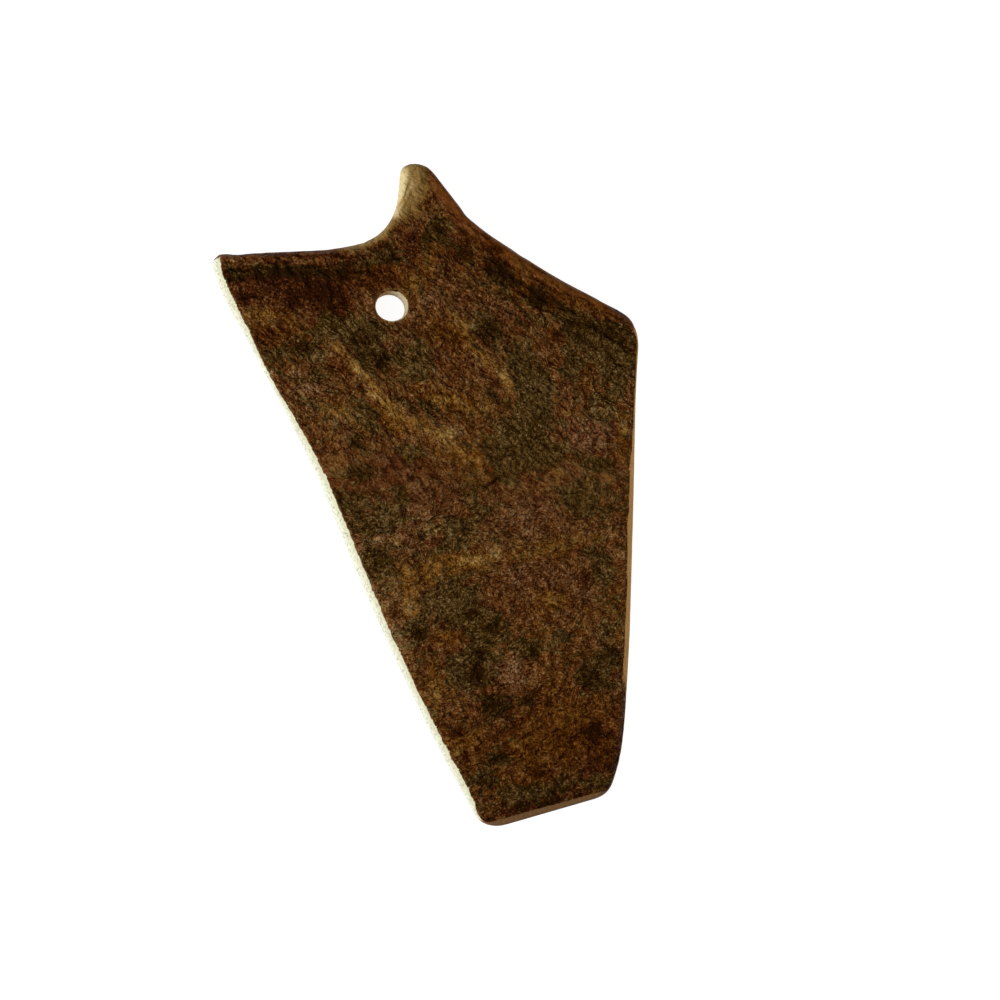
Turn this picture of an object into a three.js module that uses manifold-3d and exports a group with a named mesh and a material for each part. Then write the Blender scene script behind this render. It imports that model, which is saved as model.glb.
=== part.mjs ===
// A plate sawn from the palm of a fallow deer antler, with a cord hole drilled through it.
// Two edges are grown: they run up to the stub of a point and roll over all round.
// Three edges are sawn and sanded. The worn face is up, and the flat back lies on z = 0.
// Units are millimetres. +Y runs up the plate to the point, +Z out of the worn face.
import * as THREE from "three";
import { mergeVertices } from "three/addons/utils/BufferGeometryUtils.js";
import Module from "manifold-3d";

const wasm = await Module();
wasm.setup();

// Driving dimensions
const PLATE_LENGTH = 136; // the ground that the face's relief covers
const PLATE_WIDTH = 88;
const FACE_HEIGHT = 6.5; // thickness in the middle of the palm
const STOCK_HEIGHT = 7.6; // the blank before its face is shaped
const GRID_STEP = 1.8; // spacing of the points that carry the face's relief
const HOLE = { x: -7.2, y: 37.3, across: 6.4, tall: 5.8, lip: 0.25, sides: 32 };
const OVERCUT = 1; // how far a cutting tool runs past the stock
const SAME_POINT = 1e-3; // points closer than this are one

// Grown edge: the half-round section that it rolls over with
const GROWN = { widest: 2.6, topWidth: 4.0, topRise: 5.2, underWidth: 2.5, underRise: 2.9 };
const GROWN_LEVELS = [0, 0.4, 1.1, 2.1, 3.4, 4.6, 5.5, 6.2, 6.9, STOCK_HEIGHT];

// Sawn edges: how far the cut leans in by the time it reaches the face, and the sanding on it
const LEFT_LEAN = [
  [48, 1.5],
  [36, 1.2],
  [22, 0.4],
  [4, 1.35],
  [-15, 1.6],
  [-33, 1.1],
  [-66, 1.2],
];
const RIGHT_BEVEL = { width: 1.3, least: 0.4, from: 5.0, fadeHigh: 18, fadeLow: 2 };
const END_ROUND = { width: 0.9, from: 5.2 };
const FOOT_SANDING = { width: 0.4, height: 0.8 };
const SAWN_LEVELS = [0, 0.3, 0.8, 3.0, 5.0, 5.5, 6.0, 6.5, 7.0, STOCK_HEIGHT];
const EASING_PASSES = 4; // how gently one side's section turns into the next one's

// Low ridges of old blood vessels on the face: half width, height and points along each
const TRACK_POINTS = 60;
const RIDGES = [
  {
    width: 1.7,
    height: 0.55,
    along: [[-17.8, 30.2], [-14.0, 25.6], [-9.0, 20.0], [-3.2, 14.0], [3.6, 11.0], [12.0, 8.0]],
  },
  { width: 1.3, height: 0.35, along: [[-2.6, 19.9], [4.0, 18.0], [12.8, 14.6], [19.0, 11.6]] },
  {
    width: 1.6,
    height: 0.45,
    along: [[1.4, 40.0], [6.6, 33.4], [13.2, 26.6], [17.6, 21.2], [23.0, 13.6], [33.0, 9.8]],
  },
  {
    width: 1.9,
    height: 0.55,
    along: [[-11.6, -18.4], [-4.0, -14.8], [6.0, -13.0], [15.0, -12.2], [28.0, -9.0], [38.4, -6.8]],
  },
  { width: 1.4, height: 0.3, along: [[-13.4, 20.2], [-20.0, 17.0], [-25.6, 12.0]] },
  { width: 1.3, height: 0.3, along: [[-13.8, -9.6], [-8.0, -10.4], [-3.6, -12.0]] },
  { width: 1.4, height: 0.25, along: [[6.0, -51.6], [17.0, -47.4], [26.6, -44.0], [37.0, -41.0]] },
  { width: 1.2, height: 0.22, along: [[20.0, -55.0], [28.6, -51.6], [37.6, -47.6]] },
  { width: 1.5, height: 0.25, along: [[-38.4, 35.4], [-33.0, 34.6], [-28.0, 36.2]] },
];

// Broad swells and hollows of the face: centre, radius and height
const SWELLS = [
  { x: -2, y: 58, radius: 12, height: -1.0 },
  { x: -28, y: 42, radius: 11, height: -0.35 },
  { x: 22, y: 38, radius: 12, height: -0.4 },
  { x: 8, y: 2, radius: 22, height: 0.35 },
  { x: -6, y: 22, radius: 9, height: -0.25 },
  { x: 28, y: 14, radius: 10, height: -0.3 },
  { x: 6, y: -26, radius: 11, height: -0.3 },
  { x: 24, y: -30, radius: 9, height: 0.25 },
  { x: -22, y: 8, radius: 9, height: 0.25 },
  { x: 22, y: -54, radius: 13, height: -0.45 },
];
const RIPPLE = { length: 9, height: 0.12, wander: 2, wanderLength: 24 }; // uneven growth of the bone

const at = (pairs) => pairs.map(([x, y]) => new THREE.Vector2(x, y));
const bend = (from, corner, to) => new THREE.QuadraticBezierCurve(...at([from, corner, to]));
const sweep = (...points) => new THREE.SplineCurve(at(points));
const line = (from, to) => new THREE.LineCurve(...at([from, to]));

// The grown outline: true along the top edges and the point, oversize where the saw will cut
const GROWN_OUTLINE = [
  { side: "stock", curve: line([43.1, 30.6], [46, 22]), steps: 3 },
  { side: "stock", curve: line([46, 22], [46, -72]), steps: 8 },
  { side: "stock", curve: line([46, -72], [-52, -72]), steps: 8 },
  { side: "stock", curve: line([-52, -72], [-52, 46.7]), steps: 8 },
  { side: "grown", curve: sweep([-52, 46.7], [-41, 47.6], [-30, 48.2], [-20, 48.85]), steps: 16 },
  {
    side: "grown", // hollow below the point
    curve: sweep([-20, 48.85], [-13.2, 50.25], [-8.8, 52.85], [-6.4, 56.7], [-5.55, 60.6], [-5.35, 63.7]),
    steps: 18,
  },
  {
    side: "grown", // stub of the point
    curve: sweep([-5.35, 63.7], [-4.75, 65.85], [-2.5, 66.6], [-0.05, 66.1], [1.6, 64.7]),
    steps: 10,
  },
  {
    side: "grown", // right shoulder
    curve: sweep([1.6, 64.7], [5.4, 59.9], [8, 56.7], [11.3, 53.6], [17.5, 49.5], [27.3, 43.6], [37.7, 38.4]),
    steps: 26,
  },
  { side: "grown", curve: bend([37.7, 38.4], [43.4, 36.2], [43.1, 30.6]), steps: 6 },
];

// The sawn outline: true down the three cut edges, oversize above the grown edges
const SAWN_OUTLINE = [
  { side: "stock", curve: line([43.6, 72], [-41.4, 72]), steps: 6 },
  { side: "left", curve: line([-41.4, 72], [-41.6, 48.6]), steps: 5 },
  { side: "left", curve: bend([-41.6, 48.6], [-43.8, 46.6], [-42.3, 43.2]), steps: 6 },
  { side: "left", curve: sweep([-42.3, 43.2], [-40.4, 38.6], [-35.4, 29.7], [-28.0, 15.9]), steps: 15 },
  {
    side: "left",
    curve: sweep([-28.0, 15.9], [-21.55, 2.7], [-14.1, -15.3], [-6.0, -33.2], [2.9, -51.2], [9.5, -63.1]),
    steps: 42,
  },
  { side: "end", curve: bend([9.5, -63.1], [11.7, -67.3], [15.95, -66.05]), steps: 7 },
  { side: "end", curve: line([15.95, -66.05], [33.55, -61.05]), steps: 8 },
  { side: "end", curve: bend([33.55, -61.05], [36.75, -60.15], [37.6, -57.6]), steps: 6 },
  { side: "right", curve: sweep([37.6, -57.6], [39.1, -52.4], [40.1, -44.4], [41.1, -28.0]), steps: 14 },
  { side: "right", curve: sweep([41.1, -28.0], [41.9, -2.0], [42.4, 19.2], [43.0, 30.4]), steps: 20 },
  { side: "right", curve: line([43.0, 30.4], [43.6, 72]), steps: 8 },
];

// Points of an outline in order, each with the side that it lies on
function outlinePoints(outline) {
  return outline.flatMap(({ side, curve, steps }) =>
    curve.getSpacedPoints(steps).slice(0, -1).map((point) => ({ side, point })),
  );
}

// Smooth value between the rows of a [place, value] list that runs downwards
function valueAlong(rows, place) {
  const next = rows.findIndex(([rowPlace]) => rowPlace <= place);
  if (next === 0) return rows[0][1];
  if (next < 0) return rows.at(-1)[1];
  const [highPlace, highValue] = rows[next - 1];
  const [lowPlace, lowValue] = rows[next];
  return THREE.MathUtils.lerp(lowValue, highValue, THREE.MathUtils.smoothstep(place, lowPlace, highPlace));
}

// How far a quarter round of this width has drawn in, part of the way along its rise
function quarterRound(width, share) {
  return width * (1 - Math.sqrt(1 - THREE.MathUtils.clamp(share, 0, 1) ** 2));
}

// How far each side is drawn in at a height above the back
const footSanding = (z) => FOOT_SANDING.width * Math.max(0, 1 - z / FOOT_SANDING.height);
const drawnIn = {
  stock: () => 0,
  grown: (z) =>
    z > GROWN.widest
      ? quarterRound(GROWN.topWidth, (z - GROWN.widest) / GROWN.topRise)
      : quarterRound(GROWN.underWidth, (GROWN.widest - z) / GROWN.underRise),
  left: (z, y) => footSanding(z) + (valueAlong(LEFT_LEAN, y) * z) / FACE_HEIGHT,
  right: (z, y) => {
    const { width, least, from, fadeLow, fadeHigh } = RIGHT_BEVEL;
    const reach = THREE.MathUtils.lerp(width, least, THREE.MathUtils.smoothstep(y, fadeLow, fadeHigh));
    return footSanding(z) + reach * Math.max(0, (z - from) / (FACE_HEIGHT - from));
  },
  end: (z) => {
    const { width, from } = END_ROUND;
    return footSanding(z) + quarterRound(width, (z - from) / (STOCK_HEIGHT - from));
  },
};

// A closed solid from a geometry, for cutting and joining
function toSolid(geometry) {
  geometry.deleteAttribute("normal");
  geometry.deleteAttribute("uv");
  const merged = mergeVertices(geometry, SAME_POINT);
  const vertProperties = new Float32Array(merged.attributes.position.array);
  const triVerts = new Uint32Array(merged.index.array);
  return new wasm.Manifold(new wasm.Mesh({ numProp: 3, vertProperties, triVerts }));
}

// How far each point of an outline is drawn in at one height, eased from side to side
function insetsAt(samples, z) {
  let insets = samples.map(({ side, point }) => drawnIn[side](z, point.y));
  for (let pass = 0; pass < EASING_PASSES; pass++) {
    const last = insets;
    insets = last.map((inset, i) => (last.at(i - 1) + 2 * inset + last[(i + 1) % last.length]) / 4);
  }
  return insets;
}

// An extruded outline whose walls follow each side's own section
function shapedStock(outline, levels) {
  const samples = outlinePoints(outline);
  const inward = samples.map((_, i) => {
    const before = samples.at(i - 1).point;
    const after = samples[(i + 1) % samples.length].point;
    return new THREE.Vector2(before.y - after.y, after.x - before.x).normalize();
  });
  const shape = new THREE.Shape(samples.map(({ point }) => point));
  if (THREE.ShapeUtils.isClockWise(shape.getPoints())) inward.forEach((normal) => normal.negate());
  const steps = levels.length - 1;
  const geometry = new THREE.ExtrudeGeometry(shape, { depth: steps, steps, bevelEnabled: false });
  const insets = levels.map((z) => insetsAt(samples, z));
  const position = geometry.attributes.position;
  const here = new THREE.Vector2();
  for (let i = 0; i < position.count; i++) {
    here.set(position.getX(i), position.getY(i));
    const index = samples.findIndex(({ point }) => point.distanceTo(here) < SAME_POINT);
    const level = Math.round(position.getZ(i));
    here.addScaledVector(inward[index], insets[level][index]);
    position.setXYZ(i, here.x, here.y, levels[level]);
  }
  return toSolid(geometry);
}

// Height of the worn face over a point of the plate
const ridgeTracks = RIDGES.map(({ width, height, along }) => {
  return { width, height, track: sweep(...along).getSpacedPoints(TRACK_POINTS) };
});

function ripple({ x, y }) {
  const turn = (2 * Math.PI) / RIPPLE.length;
  const wander = RIPPLE.wander * Math.sin((2 * Math.PI * y) / RIPPLE.wanderLength);
  return RIPPLE.height * Math.sin(x * turn + wander) * Math.cos(y * turn);
}

function faceHeight(point) {
  let z = FACE_HEIGHT + ripple(point);
  for (const { x, y, radius, height } of SWELLS) {
    z += height * Math.exp(-((point.x - x) ** 2 + (point.y - y) ** 2) / radius ** 2);
  }
  for (const { track, width, height } of ridgeTracks) {
    const away = Math.min(...track.map((onTrack) => onTrack.distanceTo(point)));
    z += height * Math.exp(-((away / width) ** 2));
  }
  return z;
}

// A block whose top carries the relief of the face
function reliefBlock() {
  const columns = Math.round(PLATE_WIDTH / GRID_STEP);
  const rows = Math.round(PLATE_LENGTH / GRID_STEP);
  const geometry = new THREE.BoxGeometry(PLATE_WIDTH, PLATE_LENGTH, STOCK_HEIGHT, columns, rows, 1);
  const position = geometry.attributes.position;
  const here = new THREE.Vector2();
  for (let i = 0; i < position.count; i++) {
    here.set(position.getX(i), position.getY(i));
    position.setZ(i, position.getZ(i) > 0 ? faceHeight(here) : -OVERCUT);
  }
  return toSolid(geometry);
}

// The drill, flared at both faces where the cord has worn a lip
function drill() {
  const { x, y, across, tall, lip, sides } = HOLE;
  const radius = across / 2;
  const flared = radius + lip + OVERCUT;
  const face = faceHeight(new THREE.Vector2(x, y));
  const profile = at([
    [0, -OVERCUT],
    [flared, -OVERCUT],
    [radius, lip],
    [radius, face - lip],
    [flared, face + OVERCUT],
    [0, face + OVERCUT],
  ]);
  const bit = new THREE.LatheGeometry(profile, sides);
  bit.rotateX(Math.PI / 2).scale(1, tall / across, 1).translate(x, y, 0);
  return toSolid(bit);
}

function antlerPlate() {
  const blank = shapedStock(GROWN_OUTLINE, GROWN_LEVELS).intersect(shapedStock(SAWN_OUTLINE, SAWN_LEVELS));
  const { vertProperties, triVerts } = blank.intersect(reliefBlock()).subtract(drill()).getMesh();
  const geometry = new THREE.BufferGeometry();
  geometry.setAttribute("position", new THREE.BufferAttribute(vertProperties, 3));
  geometry.setIndex(new THREE.BufferAttribute(triVerts, 1));
  geometry.computeVertexNormals();
  const material = new THREE.MeshStandardMaterial({ color: 0x4a3017, roughness: 0.75, metalness: 0 });
  const plate = new THREE.Mesh(geometry, material);
  plate.name = "antler_plate";
  return plate;
}

const antler = new THREE.Group();
antler.add(antlerPlate());

export default antler;
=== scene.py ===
"""Looks of a plate sawn from a fallow deer antler: mottled bark, bare bone, a worn point and a hole."""

import math

import bmesh
import bpy
import numpy as np
from bpy.props import FloatProperty, FloatVectorProperty, IntProperty, PointerProperty
from mathutils import Matrix, Vector, noise
from mathutils.bvhtree import BVHTree


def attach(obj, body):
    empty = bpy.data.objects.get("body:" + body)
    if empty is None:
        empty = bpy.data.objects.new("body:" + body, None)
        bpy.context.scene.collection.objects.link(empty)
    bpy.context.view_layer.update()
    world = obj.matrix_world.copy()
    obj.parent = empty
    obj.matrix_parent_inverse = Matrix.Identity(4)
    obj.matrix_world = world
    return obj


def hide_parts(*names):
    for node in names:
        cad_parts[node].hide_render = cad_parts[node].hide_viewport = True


bl_info = {
    "name": "Fallow antler plate",
    "version": (1, 0, 0),
    "blender": (4, 5, 0),
    "location": "View3D > Sidebar > Antler",
    "description": "Dresses a plate sawn from a fallow deer antler and sets a plain studio around it",
    "category": "Object",
}

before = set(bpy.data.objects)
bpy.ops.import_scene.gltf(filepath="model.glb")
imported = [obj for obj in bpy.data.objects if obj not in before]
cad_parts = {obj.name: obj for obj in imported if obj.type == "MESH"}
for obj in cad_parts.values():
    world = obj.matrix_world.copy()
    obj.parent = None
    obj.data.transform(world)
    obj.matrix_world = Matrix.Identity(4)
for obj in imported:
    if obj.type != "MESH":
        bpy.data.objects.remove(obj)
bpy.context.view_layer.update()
PLATE = "antler_plate"

# The plate's own places and sizes, in millimetres from its origin, face up
MM = 0.001
WELD = 0.001 * MM
HOLE_CENTRE = (-7.2, 37.3)
HOLE_RADIUS = 3.3
FACE_HEIGHT = 6.5
GROWN_EDGE_FROM = 46.6  # above this height up the plate nothing was sawn
END_FACING = (0.26, -0.966)  # the way the sanded lower end looks
END_REACH = 67.1  # how far that way the end lies
END_BARE = 0.75  # how far in from there bare bone begins
END_FADE = 0.4  # the strip in which bark gives way to it
LOW_RIGHT = (30.0, 54.0)  # how far down the right side bark starts, and ends, rolling over the edge

# Pale ridges of old blood vessels: half width, strength and points along each
VEINS = (
    (0.9, 1.0, ((-20.0, 31.0), (-17.5, 28.4), (-14.0, 24.4), (-11.0, 21.0), (-8.5, 18.4), (-5.7, 15.2))),
    (1.6, 0.6, ((-9.0, 18.0), (-4.0, 14.6), (0.5, 12.8), (4.6, 11.4), (9.0, 10.6))),
    (1.8, 0.5, ((6.0, 9.0), (8.0, 7.0), (10.0, 5.0), (11.5, 1.0))),
    (1.4, 0.5, ((-1.0, 20.2), (3.0, 19.0), (7.0, 17.6), (12.0, 16.0))),
    (1.3, 0.35, ((-9.0, 20.3), (-14.0, 18.6), (-18.0, 14.6), (-17.0, 9.5))),
    (1.0, 0.65, ((3.0, 39.5), (5.0, 36.6), (7.0, 33.4), (8.5, 29.6), (11.5, 27.0), (14.6, 25.2))),
    (0.8, 0.9, ((14.0, 25.6), (15.4, 23.6), (16.6, 21.0), (17.2, 19.8))),
    (1.2, 0.3, ((24.0, 14.0), (28.0, 11.4), (32.0, 9.8), (38.0, 9.0))),
    (0.9, 0.3, ((25.6, 4.8), (30.0, 3.8), (38.9, 2.0))),
    (1.5, 0.55, ((-11.0, -19.4), (-7.0, -18.0), (-3.0, -16.0), (1.0, -14.8), (5.0, -14.6))),
    (1.3, 0.7, ((4.0, -14.8), (8.0, -13.4), (11.0, -13.0), (15.0, -12.6))),
    (1.3, 0.42, ((15.0, -13.4), (20.0, -12.4), (26.0, -10.8), (33.0, -8.8), (40.0, -8.0))),
    (0.8, 0.6, ((-12.3, -9.4), (-9.0, -9.2), (-6.0, -10.0), (-3.6, -11.4))),
    (1.0, 0.4, ((19.0, -49.6), (24.0, -47.6), (28.0, -46.2), (32.0, -45.4))),
    (0.8, 0.4, ((34.0, -50.6), (36.4, -49.0), (38.6, -48.0))),
    (0.9, 0.6, ((-37.2, 35.6), (-33.0, 35.2), (-29.5, 36.0))),
)

# Grooves and cracks along the grown edges: half width, depth share and points along each
GROOVES = (
    (0.28, 1.0, ((-39.6, 44.2), (-33.0, 44.4), (-24.0, 44.9), (-15.6, 45.8))),
    (0.22, 0.5, ((-41.0, 45.6), (-34.0, 45.9), (-29.0, 46.2))),
    (0.40, 1.0, ((-28.0, 46.9), (-22.0, 47.3), (-16.5, 47.9))),
    (0.22, 0.5, ((-36.0, 42.6), (-28.0, 43.1), (-20.0, 43.6))),
    (0.22, 0.7, ((27.0, 41.4), (33.0, 38.4), (39.0, 35.4))),
    (0.22, 0.5, ((25.0, 40.6), (31.0, 37.4), (37.0, 34.2))),
    (0.20, 0.9, ((-3.5, 62.6), (-4.6, 60.2), (-6.0, 57.0))),
    (0.18, 0.7, ((-3.0, 61.2), (-4.0, 58.8), (-5.0, 56.4))),
)

# Zones of long parallel fibres: direction in degrees, strength, the point and the direction in which
# the zone fades in, the depth of that fade, and its left and right ends
FIBRE_ZONES = (
    (3, 1.0, (-30.0, 44.5), (0.05, 1.0), 5.0, (-60.0, -9.0)),
    (-31, 1.0, (22.0, 40.0), (0.515, 0.857), 6.0, (4.0, 60.0)),
    (27, 0.45, (20.0, -46.0), (0.25, -0.97), 10.0, (-20.0, 60.0)),
)
FIBRE_LENGTH = 7.0
FIBRE_WIDTH = 0.9

# Shade of the bark: centre, half width and height, turn in degrees, and strength,
# light above 0 and dark below
SHADE_PATCHES = (
    (-28.0, 43.6, 8.5, 1.3, 2, -0.65),
    (-28.0, 46.4, 8.0, 0.8, 2, 0.3),
    (-39.5, 42.5, 2.0, 2.0, 0, -0.4),
    (-28.0, 40.5, 9.0, 3.0, 0, -0.6),
    (-27.0, 37.8, 1.2, 1.5, 0, -0.8),
    (-36.0, 38.2, 1.5, 1.1, 0, -0.8),
    (-20.0, 39.0, 4.0, 3.5, 0, -0.8),
    (-17.0, 36.0, 1.1, 2.6, 0, -0.7),
    (-33.0, 31.0, 1.8, 1.3, 0, -0.7),
    (-12.8, 30.6, 2.2, 2.0, 0, -0.5),
    (-25.0, 28.3, 2.0, 1.6, 0, -0.6),
    (-9.5, 26.6, 2.2, 1.6, 0, -0.7),
    (-17.0, 24.8, 1.0, 1.9, 35, -0.5),
    (-10.0, 43.5, 5.0, 3.0, 0, -0.5),
    (-3.5, 51.4, 1.2, 1.1, 0, -0.7),
    (2.5, 52.6, 1.8, 1.6, 0, -0.5),
    (-8.6, 48.4, 2.2, 1.8, 0, -0.5),
    (-1.0, 49.5, 5.0, 3.0, 0, -0.3),
    (7.0, 49.0, 2.2, 2.4, -20, -0.8),
    (13.5, 44.8, 3.4, 1.8, -25, -0.9),
    (22.5, 39.8, 2.8, 1.5, -30, -0.9),
    (17.0, 42.5, 2.4, 1.4, -30, -0.5),
    (26.5, 32.3, 1.3, 1.0, 0, -0.7),
    (12.5, 32.6, 2.6, 1.7, 0, -0.6),
    (34.0, 33.4, 5.0, 2.0, 0, -0.4),
    (38.5, 29.0, 3.0, 3.0, 0, -0.25),
    (13.6, 21.8, 1.0, 1.4, 0, -0.6),
    (32.0, 20.0, 0.7, 2.6, 0, -0.4),
    (13.0, 2.2, 1.8, 0.45, 38, -0.9),
    (-13.0, 3.7, 2.5, 1.0, 0, -0.6),
    (-17.6, -1.6, 0.9, 1.3, 0, -0.7),
    (-12.0, -6.6, 1.8, 1.1, 0, -0.4),
    (-10.0, -13.4, 2.2, 2.6, 0, -0.3),
    (9.5, -24.2, 2.0, 1.0, 0, -0.6),
    (13.0, -26.8, 1.7, 1.2, 0, -0.6),
    (11.0, -32.3, 2.2, 1.1, 0, -0.5),
    (-1.5, -28.0, 1.4, 1.2, 0, -0.8),
    (10.0, -36.0, 1.9, 2.0, 0, -1.0),
    (21.0, -32.0, 1.6, 1.4, 0, -0.5),
    (36.6, -32.3, 1.9, 1.2, 0, -0.6),
    (33.0, -37.0, 2.4, 2.2, 0, -0.65),
    (14.0, -42.0, 3.0, 1.8, 15, -0.85),
    (20.5, -41.0, 2.2, 1.0, 15, -0.7),
    (33.6, -48.0, 1.6, 2.0, 0, -1.0),
    (8.0, -53.0, 1.2, 0.9, 0, -0.6),
    (6.0, -47.5, 2.2, 0.6, 20, -0.6),
    (14.5, -52.6, 1.8, 1.0, 20, -0.5),
    (31.8, -17.0, 0.7, 1.6, 0, -0.8),
    (36.8, -28.0, 1.6, 1.0, 0, -0.5),
    (23.0, -61.9, 13.0, 1.3, 14, -0.55),
    (24.0, -57.0, 14.0, 3.0, 13, -0.2),
    (-6.4, -24.8, 0.9, 1.7, 0, -0.4),
    (-14.5, 9.9, 1.1, 0.9, 0, -0.5),
    (-1.0, 6.4, 1.2, 0.9, 0, -0.4),
    (-3.7, 42.2, 1.3, 1.5, 0, 0.5),
    (-1.3, 39.2, 1.1, 1.0, 0, 0.5),
    (0.5, 47.5, 1.2, 2.6, 10, 0.3),
    (8.6, 33.8, 0.9, 1.2, 0, 0.8),
    (21.4, 33.2, 0.9, 0.9, 0, 0.6),
    (1.6, 24.4, 0.6, 1.3, 15, 0.6),
    (-24.0, 20.0, 2.0, 1.8, 0, 0.5),
    (-14.0, 23.8, 2.6, 0.9, -52, 0.5),
    (5.0, 11.6, 2.8, 1.6, -10, 0.5),
    (10.0, 12.5, 1.4, 2.0, 0, 0.3),
    (15.4, 23.7, 0.8, 1.5, 35, 0.6),
    (33.5, 17.2, 1.0, 2.0, 0, 0.4),
    (33.0, 12.0, 3.6, 2.6, 0, 0.3),
    (39.4, 13.0, 0.9, 1.8, 0, 0.4),
    (-18.0, 14.0, 3.5, 4.0, 20, 0.25),
    (-18.3, 4.0, 1.1, 1.1, 0, 0.5),
    (-10.0, -9.3, 1.7, 0.6, 0, 0.9),
    (-4.0, -11.3, 1.0, 0.9, 0, 0.6),
    (0.0, -6.2, 2.0, 1.4, -45, 0.5),
    (9.6, -13.2, 1.7, 1.0, 0, 0.5),
    (13.9, -12.4, 1.0, 1.0, 0, 0.6),
    (-8.5, -22.0, 1.5, 0.9, 0, 0.5),
    (-3.8, -23.0, 1.1, 1.6, 0, 0.7),
    (-5.0, -30.0, 1.6, 3.5, 15, 0.6),
    (-6.0, -21.0, 5.0, 4.0, 0, 0.3),
    (-5.0, -6.0, 5.0, 4.0, 0, 0.15),
    (37.5, 30.0, 3.0, 3.0, 0, 0.2),
    (-17.0, 48.0, 4.0, 1.0, 0, 0.2),
    (-29.0, 30.5, 3.0, 3.0, 0, -0.2),
    (4.0, 30.0, 5.0, 4.0, 0, -0.25),
    (1.0, 17.0, 3.0, 2.6, 0, -0.2),
    (37.0, -53.0, 4.0, 4.0, 0, -0.4),
    (19.0, 35.0, 3.0, 3.0, 0, -0.2),
    (7.0, -30.0, 3.0, 3.0, 0, -0.2),
    (13.0, -48.0, 4.0, 3.0, 0, -0.2),
    (17.6, -36.0, 2.6, 2.6, 0, 0.45),
    (20.0, -3.0, 7.0, 4.0, 0, 0.2),
    (25.0, -21.0, 2.0, 1.3, 0, 0.3),
    (32.2, -19.6, 0.5, 0.5, 0, 0.8),
    (6.6, -51.4, 1.2, 1.0, 0, 0.6),
    (9.2, -51.3, 0.6, 1.9, 0, 0.5),
    (2.0, -40.0, 1.6, 3.0, 15, 0.3),
    (28.0, -47.0, 10.0, 7.0, 18, -0.25),
    (27.0, -44.5, 6.0, 1.2, 18, 0.2),
)

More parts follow.
